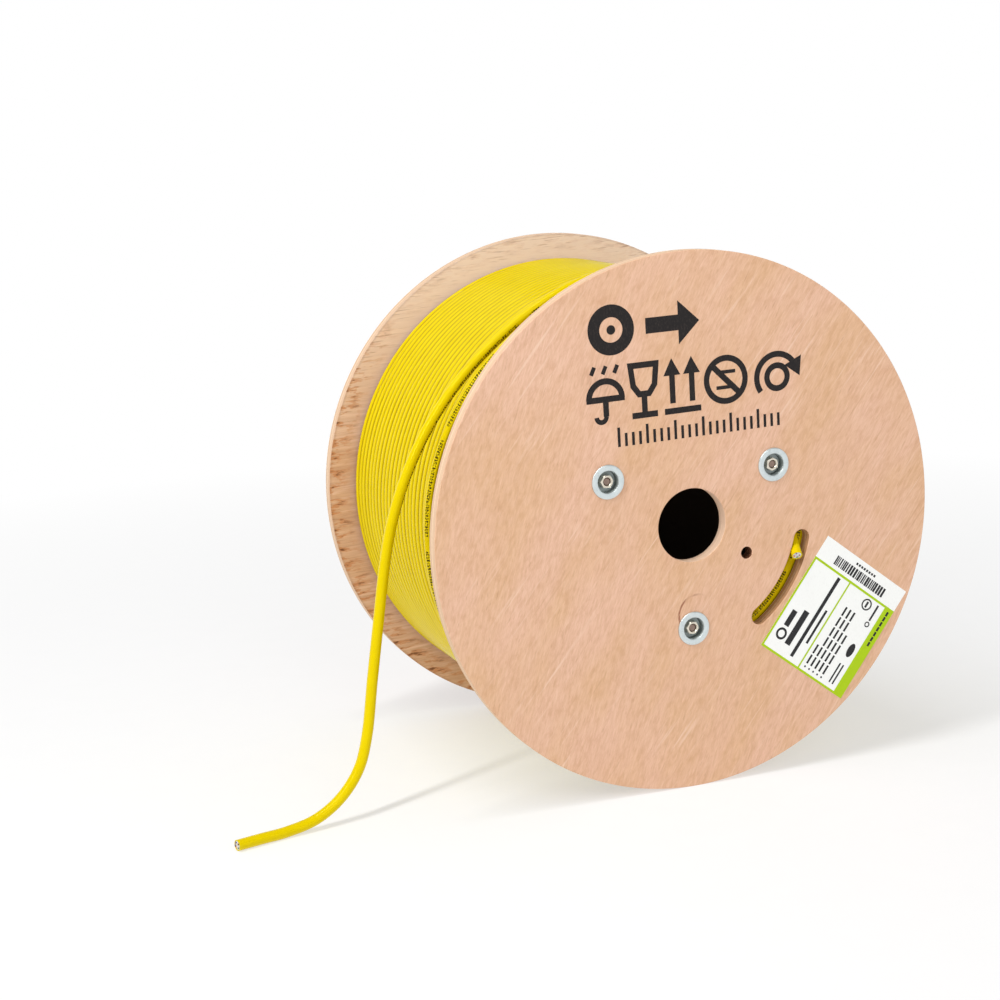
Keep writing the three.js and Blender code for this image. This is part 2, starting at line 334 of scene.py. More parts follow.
def inside_veneer(name, seed):
    """Rougher veneer on the flanges' inner sides, torn along the rim, with painted shade inside the
    drum and painted light towards the top.
    """
    g = Graph(name, (212, 169, 132), Roughness=0.7, Specular_IOR_Level=0.25)
    flat = grain_place(g, 0.06, 0, seed, level=True)
    streaks = g.noise(flat, (420, 420, 22), 4, Roughness=0.65)
    fibres = g.noise(flat, (1300, 1300, 60))
    g.paint((218, 179, 150), g.noise(flat, (30, 30, 9), 3), (0.38, 0.0), (0.62, 1.0))
    g.paint((190, 146, 114), streaks, (0.36, 0.4), (0.5, 0.0))
    g.paint((238, 203, 176), streaks, (0.54, 0.0), (0.68, 0.5))
    g.paint((186, 138, 104), fibres, (0.35, 0.3), (0.6, 0.0))
    height = g.split(g.place())["Z"]
    # painted light: paler towards the top, where more light falls
    g.paint((240, 220, 205), g.minus(height, AXIS_HEIGHT), (0.03, 0.0), (0.15, 0.75))
    radius = distance_from(g, 0, 0)
    near_rim = g.ramp(radius, (0.160, 0.0), (0.174, 1.0))
    near_rim = g.times(near_rim, g.ramp(height, (0.24, 1.0), (0.30, 0.15)))
    tears = g.noise(flat, (280, 280, 75), 3, shift=(2, 0, 5), Roughness=0.6)
    torn = g.times(near_rim, g.ramp(tears, (0.5, 0.0), (0.55, 0.85)))
    split = g.times(near_rim, g.ramp(tears, (0.59, 0.0), (0.64, 0.9)))
    g.paint((196, 132, 84), torn)
    g.paint((110, 70, 46), split)
    lined = g.ramp(g.noise(flat, (1100, 1100, 60), shift=(9, 0, 2)), (0.6, 0.0), (0.68, 0.5))
    g.paint((150, 100, 70), g.times(g.ramp(radius, (0.16, 0.25), (0.175, 1.0)), lined))
    g.paint((140, 104, 78), radius, (0.1762, 0.0), (0.1772, 0.7))
    # painted shade: the inner faces within the drum are darkened
    g.paint((70, 50, 38), g.math("LESS_THAN", radius, 0.074))
    relief = g.minus(g.math("MULTIPLY_ADD", streaks, 0.6, fibres), g.times(torn, 1.5))
    return g.finish(relief, 0.15 * MM, 0.5)


def ply_edge(name, low, high, dust_and_lighting_mix=0.62, tint=(232, 202, 172)):
    """Sawn edge of the plywood: plies across the thickness, which runs along Y from low to high.
    The last two arguments are how far a colour hides them, and that colour: pale dust on most
    edges, painted light on the arbor hole's wall and painted shade on the slot's walls."""
    g = Graph(name, Roughness=0.8, Specular_IOR_Level=0.25)
    place = g.place()
    depth = g.over(g.minus(g.split(place)["Y"], low), high - low)
    depth = g.math("MULTIPLY_ADD", g.minus(g.noise(place, 45), 0.5), 0.06, depth)
    pale, dark, glue = linear(236, 205, 172), linear(206, 164, 126), linear(150, 106, 74)
    g.colour = g.ramp(
        depth,
        (0.0, linear(228, 188, 152)),
        (0.13, glue),
        (0.17, dark),
        (0.37, dark),
        (0.41, glue),
        (0.44, pale),
        (0.6, pale),
        (0.64, glue),
        (0.68, dark),
        (0.85, glue),
        (0.89, pale),
    )
    saw = g.noise(place, (900, 120, 900), 3, Roughness=0.7)
    g.paint((176, 130, 94), saw, (0.35, 0.35), (0.6, 0.0))
    g.paint(tint, dust_and_lighting_mix)
    return g.finish(saw, 0.15 * MM, 0.6)


def jacket(name, printed=False, groove_shade=None):
    """Extruded yellow cable jacket. v of its UV map is 0.5 on the side that faces outwards.

    Its print is rows of small blocks in groups, with no letters. The last argument is how far
    round, in turns, the jacket is free of painted shade, and where that shade is darkest, next to
    its neighbours.
    """
    shine = {"Roughness": 0.3, "Specular_IOR_Level": 0.24, "Specular_Tint": (1, 0.9, 0.2, 1)}
    g = Graph(name, (216, 190, 0), **shine)
    parts = g.split(g.add("ShaderNodeUVMap", {}, uv_map="cable").outputs["UV"])
    along, round_it = parts["X"], g.math("FRACT", parts["Y"])
    tone = g.noise(g.place(), 60)
    g.paint((226, 202, 1), tone)
    g.paint((244, 226, 50), g.noise(g.place(), 900), (0.62, 0.0), (0.8, 0.2))
    if printed:
        column = g.math("FLOOR", g.over(along, 0.45 * MM))
        row = g.math("FLOOR", g.times(round_it, 36))
        cell = g.add("ShaderNodeCombineXYZ", {"X": column, "Y": row}).outputs[0]
        block = g.add("ShaderNodeTexWhiteNoise", {"Vector": cell}, noise_dimensions="2D").outputs["Value"]
        group = g.math("FLOOR", g.over(along, 9 * MM))
        gap = g.add("ShaderNodeTexWhiteNoise", {"W": group}, noise_dimensions="1D").outputs["Value"]
        space = g.math("FRACT", g.over(along, 1.8 * MM))
        mark = g.math("LESS_THAN", round_it, 0.444)
        for value, low in ((round_it, 0.333), (block, 0.3), (gap, 0.12), (space, 0.25)):
            mark = g.times(mark, g.math("GREATER_THAN", value, low))
        g.paint((40, 30, 10), g.times(mark, 0.92))
    if groove_shade:
        # painted shade in the grooves, darkest where each turn meets its neighbours
        off_top = g.math("ABSOLUTE", g.minus(round_it, 0.5))
        g.paint((126, 88, 2), off_top, (groove_shade[0], 0.0), (groove_shade[1], 0.9))
    skin = g.noise(g.place(), 420, 3)
    return g.finish(skin, 0.05 * MM, 0.5, g.ramp(tone, (0.3, 0.15), (0.7, 0.22)))


def zinc():
    """Plated steel, dull, with painted shade darkening the bottom of a cup."""
    g = Graph("zinc_plate", (196, 208, 210), Metallic=0.85)
    place = g.place()
    cloud = g.noise(place, 260, 3)
    stain = g.noise(place, 900)
    g.paint((226, 233, 233), cloud)
    g.paint((150, 152, 146), stain, (0.6, 0.0), (0.75, 0.4))
    # painted shade, darker towards the bottom of the cup
    depth = g.over(g.minus(REAR_FACE, g.math("ABSOLUTE", g.split(place)["Y"])), 5 * MM)
    g.paint((96, 104, 100), depth, (0.05, 0.0), (0.9, 0.75))
    return g.finish(stain, 0.03 * MM, 0.4, g.ramp(cloud, (0.3, 0.3), (0.7, 0.46)))


def steel(name, dull, bright, metallic, scale, polish):
    """Steel with a cloudy finish. polish is its lowest and its highest roughness."""
    g = Graph(name, dull, Metallic=metallic)
    cloud = g.noise(g.place(), scale, 3)
    g.paint(bright, cloud)
    return g.finish(cloud, 0.03 * MM, 0.4, g.ramp(cloud, (0.3, polish[0]), (0.7, polish[1])))


def shield_foil():
    g = Graph("foil", (204, 209, 212), Metallic=0.9, Roughness=0.3)
    skin = g.noise(g.place(), 1500)
    g.paint((226, 229, 230), skin)
    return g.finish(skin, 0.05 * MM)


def scorched():
    """Wall of a drilled hole, browned by the bit."""
    g = Graph("scorched_wood", (70, 40, 24), Roughness=0.85, Specular_IOR_Level=0.15)
    char = g.noise(g.place(), 1400, 3, Roughness=0.7)
    g.paint((150, 100, 72), char, (0.4, 0.0), (0.6, 1.0))
    return g.finish(char, 0.3 * MM, 0.8)


def fibreboard():
    # Brown fibreboard, darkened further as painted shade for the dim inside of the drum
    g = Graph("fibreboard", (52, 38, 26), Roughness=0.85, Specular_IOR_Level=0.2)
    fibre = g.noise(g.place(), 500, 4, Roughness=0.7)
    g.paint((74, 56, 40), fibre)
    return g.finish(fibre, 0.2 * MM, 0.5)


def flat_print(name, base, worn, roughness=0.6):
    """Ink, paper or plastic: base, with a fine mottle towards worn."""
    g = Graph(name, base, Roughness=roughness, Specular_IOR_Level=0.3)
    mottle = g.noise(g.place(), (1100, 1100, 500), 3, Roughness=0.7)
    g.paint(worn, mottle, (0.5, 0.0), (0.8, 1.0))
    return g.finish(mottle, 0.02 * MM, 0.3)


# Mesh helpers --------------------------------------------------------


def piece(name, mesh, materials, crease=30):
    """An object on the reel's one body. crease is the sharpest edge in degrees that looks round."""
    for material in materials:
        mesh.materials.append(material)
    mesh.shade_smooth()
    mesh.set_sharp_from_angle(angle=math.radians(crease))
    obj = placed(name, mesh)
    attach(obj, BODY)
    return obj


def mesh_from(name, vertices, faces):
    mesh = bpy.data.meshes.new(name)
    mesh.from_pydata([tuple(v) for v in vertices], [], faces)
    mesh.update()
    return mesh


def close_normals(mesh):
    """Join points that coincide and turn every face outwards."""
    work = bmesh.new()
    work.from_mesh(mesh)
    bmesh.ops.remove_doubles(work, verts=work.verts, dist=1e-7)
    bmesh.ops.recalc_face_normals(work, faces=work.faces)
    work.to_mesh(mesh)
    work.free()


def unit(vectors):
    return vectors / np.linalg.norm(vectors, axis=-1, keepdims=True)


def tube_mesh(name, centres, outward, radius=CABLE_RADIUS, sides=16, twist=None, cut=False):
    """Round cable. u of its UV map is the length along it, and v the way round it: 0.5 plus twist
    on the outward side.

    With cut the far end is a jacket's cut edge with a shallow hollow inside it.
    """
    centres = np.asarray(centres, float)
    tangent = unit(np.gradient(centres, axis=0))
    outward = np.asarray(outward, float)
    normal = unit(outward - (outward * tangent).sum(axis=1, keepdims=True) * tangent)
    side = np.cross(tangent, normal)
    turn = (2 * np.pi * np.arange(sides) / sides)[None, :, None]
    spoke = np.cos(turn) * normal[:, None] + np.sin(turn) * side[:, None]
    rings = centres[:, None] + radius * spoke
    length = np.concatenate([[0], np.cumsum(np.linalg.norm(np.diff(centres, axis=0), axis=1))])
    twist = np.zeros(len(centres)) if twist is None else np.asarray(twist, float)
    if cut:
        hollow = centres[-1] + (radius - JACKET_WALL) * spoke[-1]
        rings = np.concatenate([rings, [hollow, hollow - 1.2 * MM * tangent[-1]]])
        length = np.append(length, [length[-1], length[-1]])
        twist = np.append(twist, [twist[-1], twist[-1]])
    index = np.arange(len(rings) * sides).reshape(len(rings), sides)
    following = np.roll(index, -1, axis=1)
    quads = np.stack([index[:-1], following[:-1], following[1:], index[1:]], axis=-1)
    faces = [tuple(q) for q in quads.reshape(-1, 4).tolist()]
    faces.append(tuple(index[0][::-1].tolist()))
    faces.append(tuple(index[-1].tolist()))
    mesh = mesh_from(name, rings.reshape(-1, 3), faces)
    u = np.repeat(length[:, None], sides + 1, axis=1)
    v = 0.5 + (np.arange(sides + 1) / sides)[None, :] + twist[:, None]
    grid = np.stack([u, v], axis=-1)
    corners = np.stack([grid[:-1, :-1], grid[:-1, 1:], grid[1:, 1:], grid[1:, :-1]], axis=2)
    ends = np.tile([0, 0.5], (2 * sides, 1))
    coords = np.concatenate([corners.reshape(-1, 2), ends]).astype(np.float32)
    mesh.uv_layers.new(name="cable").data.foreach_set("uv", coords.ravel())
    return mesh


def turned(profile, place, angle, outward=1):
    """The profile's (radius, y) points at that angle round the line along Y through place."""
    across, rise = math.cos(angle), math.sin(angle)
    return [place + Vector((radius * across, y * outward, radius * rise)) for radius, y in profile]


def ring_mesh(name, rings):
    """Quads through a grid of points that meets itself both ways."""
    rows, columns = len(rings), len(rings[0])
    faces = []
    for i in range(rows):
        j = (i + 1) % rows
        for k in range(columns):
            m = (k + 1) % columns
            faces.append((i * columns + k, i * columns + m, j * columns + m, j * columns + k))
    mesh = mesh_from(name, [point for ring in rings for point in ring], faces)
    close_normals(mesh)
    return mesh


def turned_mesh(name, profile, place, segments=64, axis=1):
    """Closed ring or solid turned about an axis parallel to Y. profile is (radius, y) from place,
    counter-clockwise with radius to the right; axis is -1 to turn the piece end for end."""
    angles = [2 * math.pi * i / segments * axis for i in range(segments)]
    return ring_mesh(name, [turned(profile, place, angle, axis) for angle in angles])


def smooth_route(points, per_span):
    """Centripetal Catmull-Rom curve through the points, as in the CAD model."""
    points = [np.asarray(p, float) for p in points]
    points = [2 * points[0] - points[1], *points, 2 * points[-1] - points[-2]]
    result = []
    for a, b, c, d in zip(points, points[1:], points[2:], points[3:]):
        first, second, third = (math.sqrt(np.linalg.norm(q - p)) for p, q in ((a, b), (b, c), (c, d)))
        start = ((b - a) / first - (c - a) / (first + second) + (c - b) / second) * second
        end = ((c - b) / second - (d - b) / (second + third) + (d - c) / third) * second
        for t in np.arange(per_span) / per_span:
            square, cube = t * t, t * t * t
            place = b * (2 * cube - 3 * square + 1) + start * (cube - 2 * square + t)
            result.append(place + c * (3 * square - 2 * cube) + end * (cube - square))
    result.append(points[-2])
    return np.array(result)


def carried(centres, first):
    """A reference direction for each point, turned along with the curve so that it never twists."""
    tangent = unit(np.gradient(centres, axis=0))
    result = [np.asarray(first, float)]
    for t in tangent[1:]:
        last = result[-1]
        result.append(unit(last - np.dot(last, t) * t))
    return np.array(result)


# Flanges -------------------------------------------------------------


def arc_points(centre, radius, angles, stretch=1.0):
    """Points of an arc at those angles, stretched that much upwards."""
    x, y = centre
    return [(x + radius * math.cos(a), y + radius * stretch * math.sin(a)) for a in angles]


def circle(centre, radius, count, stretch=1.0):
    return arc_points(centre, radius, np.linspace(0, 2 * math.pi, count, endpoint=False), stretch)


def slot_outline():
    """Curved slot with round ends, concentric with the flange."""
    half = SLOT_WIDTH / 2
    first, last = (math.radians(a) for a in SLOT_ENDS)
    first_end, last_end = arc_points((0, 0), SLOT_RADIUS, (first, last))
    points = arc_points((0, 0), SLOT_RADIUS + half, np.linspace(first, last, 24))
    points += arc_points(last_end, half, np.linspace(last, last - math.pi, 22)[1:-1])
    points += arc_points((0, 0), SLOT_RADIUS - half, np.linspace(last, first, 24))
    points += arc_points(first_end, half, np.linspace(first + math.pi, first, 22)[1:-1])
    return points


def plate_mesh(name, outlines, low, high):
    """Flat plate from low to high along Y, with softened edges. The first outline is its outside."""
    curve = bpy.data.curves.new(name, "CURVE")
    curve.dimensions = "2D"
    curve.fill_mode = "BOTH"
    curve.extrude = (high - low) / 2 - EDGE
    curve.bevel_depth = EDGE
    curve.bevel_resolution = 2
    curve.offset = -EDGE
    for outline in outlines:
        spline = curve.splines.new("POLY")
        spline.points.add(len(outline) - 1)
        for point, (x, y) in zip(spline.points, outline):
            point.co = (x, y, 0, 1)
        spline.use_cyclic_u = True
    holder = placed(name, curve)
    mesh = evaluated_mesh(holder)
    bpy.data.objects.remove(holder)
    upright = Matrix.Rotation(math.radians(90), 4, "X")
    mesh.transform(Matrix.Translation((0, (low + high) / 2, AXIS_HEIGHT)) @ upright)
    close_normals(mesh)
    return mesh


def evaluated_mesh(obj):
    """The object's mesh with its modifiers applied."""
    bpy.context.view_layer.update()
    evaluated = obj.evaluated_get(bpy.context.evaluated_depsgraph_get())
    return bpy.data.meshes.new_from_object(evaluated)


def bolt_places():
    """Distance right of the axis and above it, for each tie rod."""
    places = []
    for number in (1, 2, 3):
        low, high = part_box(f"tie_rod_{number}")
        places.append(((low[0] + high[0]) / 2, (low[2] + high[2]) / 2 - AXIS_HEIGHT))
    return places


def cut_recesses(obj, face):
    """Flat-bottomed recesses for the cup washers, cut into the flange's outer face."""
    reach = CUP_RECESS_DEPTH
    profile = [(0, -reach), (CUP_RECESS_RADIUS, -reach), (CUP_RECESS_RADIUS, reach), (0, reach)]
    for x, z in bolt_places():
        place = Vector((x, face, AXIS_HEIGHT + z))
        cutter = placed("cutter", turned_mesh("cutter", profile, place, 48))
        modifier = obj.modifiers.new("recess", "BOOLEAN")
        modifier.object = cutter
        modifier.operation = "DIFFERENCE"
        modifier.solver = "EXACT"
        obj.data = evaluated_mesh(obj)
        obj.modifiers.clear()
        bpy.data.objects.remove(cutter)


# A flange's materials, in the order of its slots
OUTER_FACE, INNER_FACE, SAWN_EDGE, DRILLED, BORED, SLOTTED = range(6)


def wall_material(place, pin):
    """Which material a wall at that place has. pin is the middle of the pin hole."""
    x, z = place.x, place.z - AXIS_HEIGHT
    radius = math.hypot(x, z)
    if math.dist((x, z), pin) < 1.1 * PIN_HOLE_RADIUS:
        return DRILLED
    if radius < ARBOR_RADIUS + 0.1 * MM:
        return BORED
    first, last = SLOT_ENDS
    beside_slot = last - 5 < math.degrees(math.atan2(z, x)) < first + 5
    return SLOTTED if beside_slot and abs(radius - SLOT_RADIUS) < 0.6 * SLOT_WIDTH else SAWN_EDGE


def flange(name, node, low, high, outward, materials):
    """outward is -1 on the front flange, which alone has the slot, and 1 on the rear."""
    pin = arc_points((0, 0), PIN_HOLE[0], [math.radians(PIN_HOLE[1])])[0]
    outlines = [circle((0, 0), FLANGE_RADIUS, 360), circle((0, 0), ARBOR_RADIUS, 96)]
    outlines.append(circle(pin, PIN_HOLE_RADIUS, 32))
    outlines += [circle(place, ROD_HOLE_RADIUS, 24) for place in bolt_places()]
    if outward < 0:
        outlines.append(slot_outline())
    obj = piece(name, plate_mesh(name, outlines, low, high), materials)
    cut_recesses(obj, low if outward < 0 else high)
    obj.data.shade_smooth()
    obj.data.set_sharp_from_angle(angle=math.radians(12))
    for polygon in obj.data.polygons:
        facing = polygon.normal.y * outward
        if abs(facing) > 0.6:
            polygon.material_index = OUTER_FACE if facing > 0 else INNER_FACE
        else:
            polygon.material_index = wall_material(polygon.center, pin)
    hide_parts(node)


# Hardware ------------------------------------------------------------

# Radius and height over the flange's face, in millimetres
CUP_PROFILE = [
    (3.0, -5.8), (7.6, -5.8), (8.1, -5.3), (8.1, -0.1),
    (8.3, 0.05), (10.9, 0.05), (11.2, 0.3), (11.2, 0.75),
    (11.0, 1.05), (10.6, 1.2), (9.4, 1.3), (8.2, 1.25),
    (7.5, 1.0), (7.15, 0.4), (7.1, -0.5), (7.1, -4.3),
    (6.95, -4.7), (6.6, -4.8), (3.0, -4.8),
]
CUP_FLOOR = -4.8 * MM


def cup_washer(name, place, outward, material):
    """Dished washer on the flange's face. outward is -1 on the front and 1 on the rear."""
    profile = [(radius * MM, height * MM) for radius, height in CUP_PROFILE]
    mesh = turned_mesh(name, profile, place, 72, outward)
    return piece(name, mesh, [material], crease=40)


def hex_nut(name, place, outward, turn, material):
    """Hex nut with chamfered corners in the washer's cup."""
    half, bore = 4 * MM, 2.6 * MM  # half the width over its flats, and the radius of its hole
    low, high = CUP_FLOOR, CUP_FLOOR + 4.2 * MM
    steps = 60
    rings = []
    for i in range(steps):
        angle = 2 * math.pi * i / steps
        off_flat = (angle + math.pi / 6) % (math.pi / 3) - math.pi / 6
        edge = half / math.cos(off_flat)
        chamfer = max(0, edge - half) * math.tan(math.radians(30))
        profile = [
            (bore, low + 0.02 * MM),
            (edge - 0.1 * MM, low + 0.02 * MM),
            (edge, low + 0.12 * MM + chamfer),
            (edge, high - 0.12 * MM - chamfer),
            (half - 0.15 * MM, high),
            (bore + 0.35 * MM, high),
            (bore, high - 0.5 * MM),
        ]
        rings.append(turned(profile, place, angle + turn, outward))
    return piece(name, ring_mesh(name, rings), [material], crease=25)


def tie_rod(name, node, place, material):
    """Rod with rolled thread at both ends."""
    low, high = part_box(node)
    end = (low[1] - high[1]) / 2 + 0.4 * MM  # where the thread begins
    radius, root, pitch = 2.48 * MM, 2.05 * MM, 0.8 * MM
    threads = 16
    profile = [(0, end - 0.4 * MM), (root, end - 0.4 * MM), (radius - 0.2 * MM, end)]
    for i in range(threads):
        start = end + i * pitch
        for reach, share in ((radius, 0.15), (radius, 0.35), (root, 0.75)):
            profile.append((reach, start + share * pitch))
    profile.append((radius, end + threads * pitch))
    profile += [(r, -y) for r, y in reversed(profile)]
    mesh = turned_mesh(name, profile, place + Vector((0, (low[1] + high[1]) / 2, 0)), 40)
    obj = piece(name, mesh, [material], crease=35)
    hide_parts(node)


def hardware(washers, nuts, rods):
    for number, (x, z) in enumerate(bolt_places(), 1):
        middle = Vector((x, 0, AXIS_HEIGHT + z))
        tie_rod(f"threaded_rod_{number}", f"tie_rod_{number}", middle, rods)
        for side, face, outward in (("front", FRONT_FACE, -1), ("rear", REAR_FACE, 1)):
            place = middle + Vector((0, face, 0))
            washer = cup_washer(f"{side}_washer_{number}", place, outward, washers)
            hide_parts(f"{side}_cup_washer_{number}")
            nut = hex_nut(f"{side}_nut_{number}", place, outward, 0.5 * number, nuts)
            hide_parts(f"{side}_hex_nut_{number}")


def drum(material):
    low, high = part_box("drum_tube")
    outer = (high[0] - low[0]) / 2
    inner = outer - 3 * MM
    soft = 0.4 * MM
    a, b = FRONT_INSIDE, REAR_INSIDE
    profile = [(inner, a + soft), (inner + soft, a), (outer - soft, a), (outer, a + soft)]
    profile += [(outer, b - soft), (outer - soft, b), (inner + soft, b), (inner, b - soft)]
    obj = piece("drum", turned_mesh("drum", profile, AXIS, 160), [material])
    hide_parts("drum_tube")


# Cable ---------------------------------------------------------------


def cable(name, centres, outward, material, crease=60, **shape):
    """A piece of the reel's cable. shape is what tube_mesh takes beside them."""
    mesh = tube_mesh(name, centres, outward, **shape)
    return piece(name, mesh, [material], crease)


def around(angles, radius, y):
    """Points round the reel at those angles in degrees, and the outward direction at each."""
    turn = np.radians(angles)
    outward = np.stack([np.cos(turn), np.zeros_like(turn), np.sin(turn)], axis=1)
    centres = outward * np.broadcast_to(radius, turn.shape)[:, None]
    centres[:, 1] = y
    centres[:, 2] += AXIS_HEIGHT
    return centres, outward


def eased(share):
    """From 0 to 1 as share does, with a gentle start and end."""
    return share * share * (3 - 2 * share)


def wander(values, seed, waves=5):
    """A smooth small random walk between -1 and 1 along values."""
    random = np.random.default_rng(seed)
    total = np.zeros_like(values, dtype=float)
    for _ in range(waves):
        rate, phase, size = (random.uniform(*span) for span in ((0.4, 2.2), (0, 6.28), (0.5, 1)))
        total += size * np.sin(values * rate + phase)
    return total / waves


def outer_layer(material):
    """The last full layer, one long helix from the rear flange, where it comes up from the layer
    under it, to the front one."""
    drift, sink = 0.16 * MM, 0.22 * MM  # how unevenly the turns lie
    rise_ends = 50  # degrees from the start
    end, front = TOP_TURNS[0]
    start = end - 360 * OUTER_TURNS
    angles = np.arange(start, end + 1, 2.25)
    share = (angles - angles[0]) / (angles[-1] - angles[0])
    rear = REAR_INSIDE - CABLE_RADIUS - 0.15 * MM
    loose = np.minimum(1, np.minimum(share, 1 - share) * 25)  # even turns at both ends
    y = rear + (-front * MM - rear) * share + drift * wander(np.radians(angles), 3) * loose
    radius = LAYER_RADIUS + sink * (wander(np.radians(angles), 8) - 1) * loose
    rising = np.clip(1 - (angles - start) / rise_ends, 0, 1)
    radius = radius - 2 * CABLE_RADIUS * rising * rising
    obj = cable("cable_layer", *around(angles, radius, y), material, sides=14)
    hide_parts("cable_winding")


def core(material):
    """Everything under the outer layer: a ring whose sides and outside are ribbed like the turns."""
    inner, ledge, room = 77 * MM, 91 * MM, -88 * MM  # room for the turns behind the slot
    outside = LAYER_RADIUS - 6.3 * MM
    end = REAR_INSIDE - CABLE_RADIUS - 0.2 * MM
    profile = [(inner, end), (inner, room), (ledge, room), (ledge, -end), (outside, -end)]
    ribs, steep = 29, 70
    for rib in range(ribs):
        middle = -end + 2 * end * (rib + 0.5) / ribs
        for a in (-steep, -steep / 2, 0, steep / 2, steep):
            lift = CABLE_RADIUS * math.cos(math.radians(a)) - 0.3 * MM
            across = CABLE_RADIUS * math.sin(math.radians(a)) / math.sin(math.radians(steep))
            profile.append((outside + lift, middle + across))
    profile.append((outside, end))
    piece("cable_core", turned_mesh("cable_core", profile, AXIS, 128), [material], crease=60)


def slot_turns(material):
    """The two innermost turns that lie against the front flange and show through its slot."""
    angles = np.arange(-100, 40, 1.5)
    front = np.tile([0.0, -1.0, 0.0], (len(angles), 1))
    for number, (rows, twist) in enumerate(((SLOT_TURN, 0.4), (SLOT_NEIGHBOUR, -0.02)), 1):
        places, radii, distances = np.array(rows, float).T
        radius = np.interp(angles, places, radii) * MM
        centres = around(angles, radius, -np.interp(angles, places, distances) * MM)[0]
        cable(f"cable_slot_turn_{number}", centres, front, material, twist=np.full(len(angles), twist))


def loose_turns(material):
    """Two turns on the full layers, with the print turned outwards."""
    rows = np.array(TOP_TURNS, float)
    angles = np.arange(rows[0, 0], rows[-1, 0] + 0.01, 2.0)
    row = np.clip(np.searchsorted(rows[:, 0], angles, side="right"), 1, len(rows) - 1)
    low, high = rows[row - 1], rows[row]
    share = np.clip((angles - low[:, 0]) / (high[:, 0] - low[:, 0]), 0, 1)
    y = -(low[:, 1] + (high[:, 1] - low[:, 1]) * eased(share)) * MM
    near = 9  # points that the smoothing takes in
    y = np.convolve(np.pad(y, near // 2, mode="edge"), np.ones(near) / near, mode="valid")
    climb = np.clip((angles - rows[0, 0]) / 85, 0, 1)  # done within 85 degrees
    radius = LAYER_RADIUS + (TOP_RADIUS - LAYER_RADIUS) * eased(climb)
    obj = cable("cable_loose_turns", *around(angles, radius, y), material, sides=24)
    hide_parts("cable_top_turns")


def cut_face(name, centres, outward, foil, copper, colours):
    """What a cut across the cable shows: the foil, four twisted pairs and the bare wires in them."""
    end = Vector(centres[-1])
    direction = Vector(centres[-1] - centres[-2]).normalized()
    up = Vector(outward[-1]).normalized()
    side = direction.cross(up)
    pieces = []

    def rod(tag, offset, radius, low, high, material, count):
        start, stop = (np.array(end + offset + direction * at * MM) for at in (low, high))
        steps = np.linspace(0, 1, 3)[:, None]
        line = start * (1 - steps) + stop * steps
        mesh = tube_mesh(f"{name}_{tag}", line, np.tile(up, (3, 1)), radius * MM, count)
        pieces.append(piece(f"{name}_{tag}", mesh, [material]))

    def off_middle(degrees, distance):
        angle = math.radians(degrees)
        return (up * math.cos(angle) + side * math.sin(angle)) * distance * MM

    rod("foil", Vector((0, 0, 0)), 2.8, -1.1, -0.25, foil, 28)
    for pair in range(4):
        middle = off_middle(45 + 90 * pair, 1.55)
        across = off_middle(20 + 65 * pair, 0.56)
        for wire, sign in enumerate((-1, 1)):
            offset = middle + across * sign
            rod(f"wire_{pair}{wire}", offset, 0.54, -1, 0.1, colours[pair if wire else 4], 12)
            rod(f"copper_{pair}{wire}", offset, 0.29, -1, 0.16, copper, 10)
    return pieces


def tail(material, ends):
    """The free end of the cable: over the winding, down on the left and out along the floor."""
    route = [Vector(p) * MM for p in TAIL_ROUTE]
    centres = smooth_route(route, 8)
    outward = carried(centres, centres[0] - np.array([0, centres[0][1], AXIS_HEIGHT]))
    twist = np.linspace(0, 0.6, len(centres))
    obj = cable("cable_free_end", centres, outward, material, 50, sides=24, twist=twist, cut=True)
    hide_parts("cable_tail")
    wires = cut_face("free_end", centres, outward, *ends)


def inner_end(material, ends):
    """The cable's first end, led out through the slot and cut off short."""
    angles, distances = np.array(INNER_END, float).T
    centres = smooth_route(around(angles, INNER_END_RADIUS, -distances * MM)[0], 8)
    outward = carried(centres, (0, -1, 0))
    obj = cable("cable_start", centres, outward, material, 50, sides=24, cut=True)
    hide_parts("cable_inner_end")
    cut_face("start", centres, outward, *ends)


# Print and label -----------------------------------------------------

INK_GAP = 0.01 * MM  # between a printed shape and the face under it
HAIR = 0.0004 * MM  # how far each printed shape stands over the one before it


def leaning(degrees):
    """Right and up on a face towards -Y, turned that far from level."""
    turn = math.radians(degrees)
    right = Vector((math.cos(turn), 0, math.sin(turn)))
    return right, Vector((-right.z, 0, right.x))


